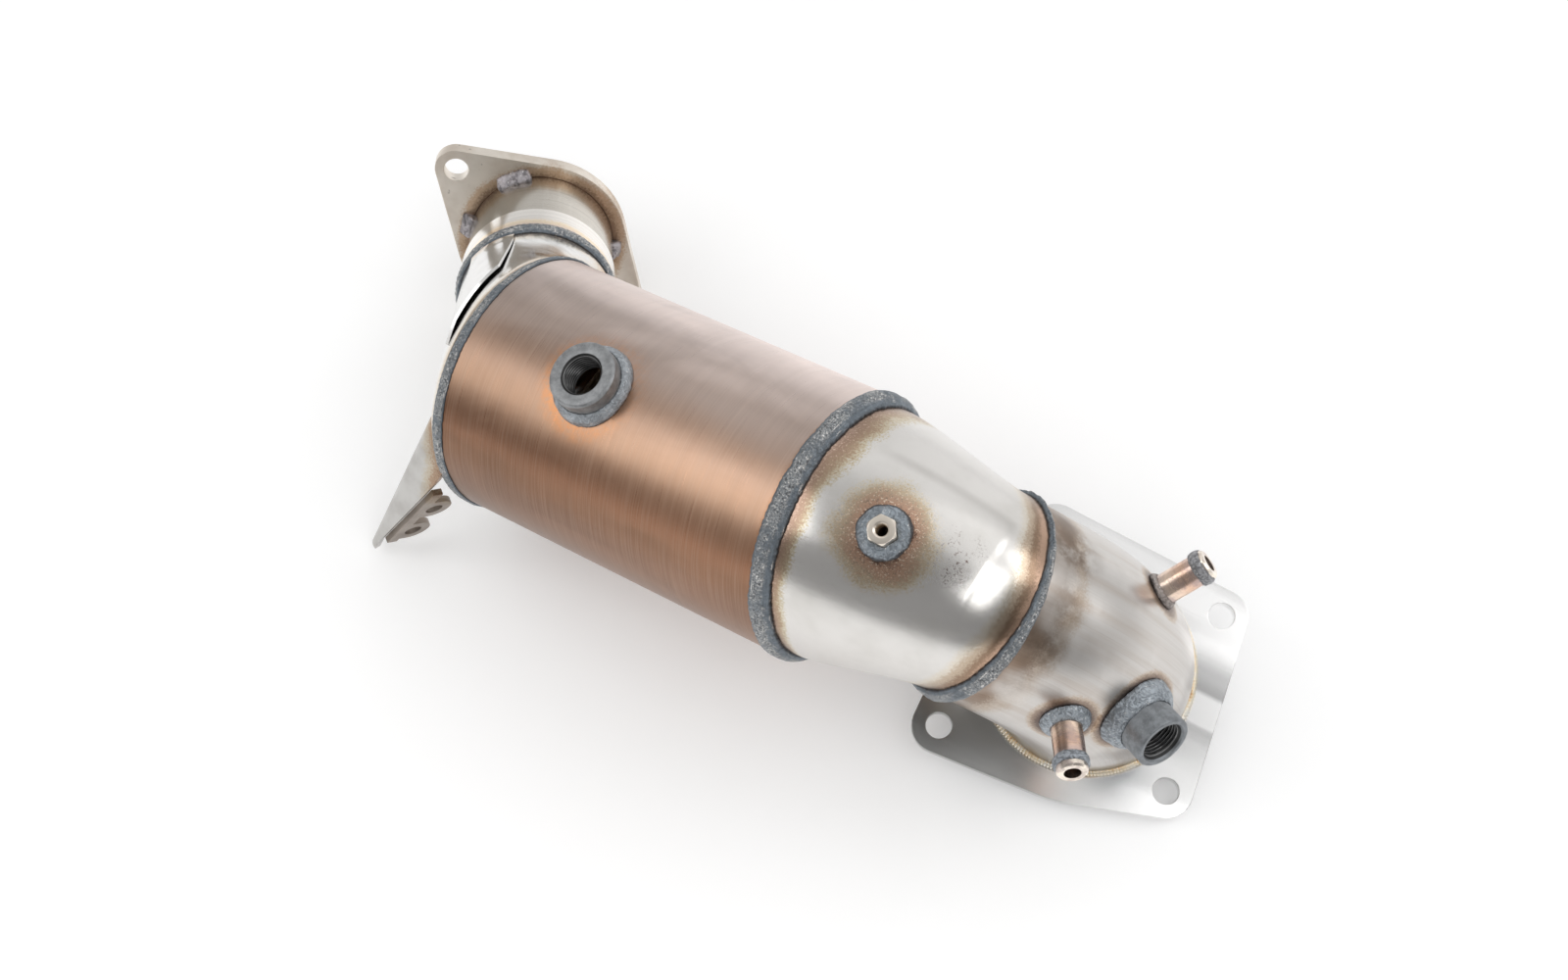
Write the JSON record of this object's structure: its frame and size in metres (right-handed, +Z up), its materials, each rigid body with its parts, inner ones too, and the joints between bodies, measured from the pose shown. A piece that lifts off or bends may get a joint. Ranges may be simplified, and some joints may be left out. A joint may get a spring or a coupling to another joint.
{
  "type": "downpipe with catalytic converter",
  "caption": "Turbo downpipe: a welded inlet elbow, cone, catalyst canister and angled outlet flange, with sensor bosses, pressure stubs and a support bracket.",
  "frame": {"origin": "centre of the inlet flange's mating face", "axes": "+Z up the pipe, square to the inlet plate; the pipe bends towards -X and the outlet points towards +Y and down"},
  "size_m": [0.4176, 0.1988, 0.2318],
  "materials": {
    "flange": "satin stainless plate with coarse linear marks",
    "tig_bead": "straw-gold weld ripples",
    "pipe": "satin stainless tube with lengthwise streaks and heat tint",
    "boss": "dull dark grey turned steel",
    "weld": "dark blue-grey weld scale with bright specks",
    "stub": "copper and purple heat tint",
    "braze": "rough dark bead",
    "cone": "bright stainless with straw tint at the welds",
    "hexagon": "bright stainless with brown tint",
    "canister": "copper-bronze heat tint over fine circumferential brushing",
    "mat": "matt white fibre",
    "brick": "matt coated ceramic",
    "cap": "near-mirror stainless",
    "sleeve": "bright stainless with straw and purple tint",
    "outlet_tube": "bright stainless with fine rings",
    "outlet_flange": "beige-tinted stainless with bright edges",
    "tack": "dark tack weld with pink-tinted crest",
    "strap": "near-mirror stainless",
    "bracket": "pale grey sheet with brown tint along the weld",
    "bracket_leg": "tan-tinted sheet"
  },
  "bodies": {
    "root": {"inlet_flange": "flange", "inlet_weld": "tig_bead", "inlet_start": "pipe", "inlet_elbow": "pipe", "neck_run": "pipe", "elbow_boss": "boss", "elbow_boss_weld": "weld", "front_stub": "stub", "front_stub_weld": "weld", "front_stub_collar": "braze", "side_stub": "stub", "side_stub_weld": "weld", "side_stub_collar": "braze", "neck_weld": "weld", "transition_cone": "cone", "hex_boss": "hexagon", "hex_boss_weld": "weld", "cone_weld": "weld", "canister_shell": "canister", "lambda_boss": "boss", "lambda_boss_weld": "weld", "support_mat": "mat", "catalyst_brick": "brick", "end_cap_weld": "weld", "end_cap": "cap", "outlet_weld": "weld", "outlet_sleeve": "sleeve", "outlet_pipe": "outlet_tube", "outlet_flange": "outlet_flange", "outlet_tacks": "tack", "cap_strap": "strap", "bracket_plate": "bracket", "bracket_ears": "bracket_leg"}
  },
  "joints": []
}
